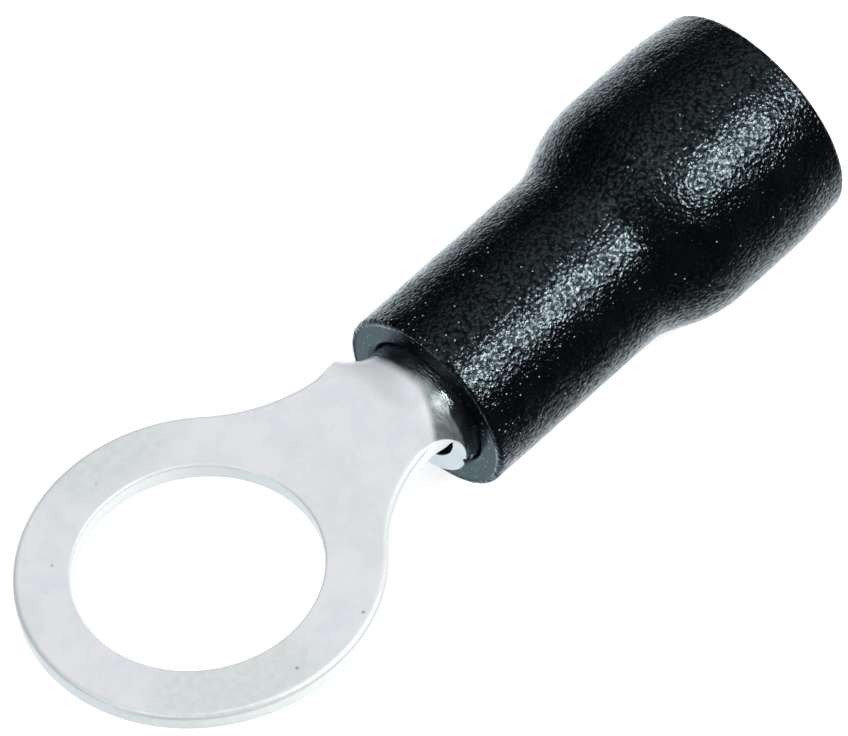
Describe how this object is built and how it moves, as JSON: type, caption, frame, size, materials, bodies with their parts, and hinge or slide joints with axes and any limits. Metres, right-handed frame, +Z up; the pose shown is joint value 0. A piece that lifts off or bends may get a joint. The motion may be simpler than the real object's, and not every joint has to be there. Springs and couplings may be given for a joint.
{
  "type": "insulated ring terminal",
  "caption": "Stamped and rolled tin-plated ring terminal for an M8 stud, with a round wire barrel inside a moulded black sleeve that widens to a funnel entry.",
  "frame": {"origin": "middle of the stud hole, on the underside of the ring", "axes": "The ring lies level, as on its stud: +Z runs up the stud's axis, +X runs from the ring to the wire entry along the barrel, and Y runs across. The sleeve reaches 5.5 mm below the underside of the ring."},
  "size_m": [0.0327, 0.0124, 0.0086],
  "materials": {
    "tinned_copper": "satin tin plating on copper sheet, pale silver-white, with rolled bright edges",
    "black_vinyl": "black moulded vinyl with a fine leathery grain and a soft gloss"
  },
  "bodies": {
    "root": {"terminal": "tinned_copper", "insulating_sleeve": "black_vinyl"}
  },
  "joints": []
}
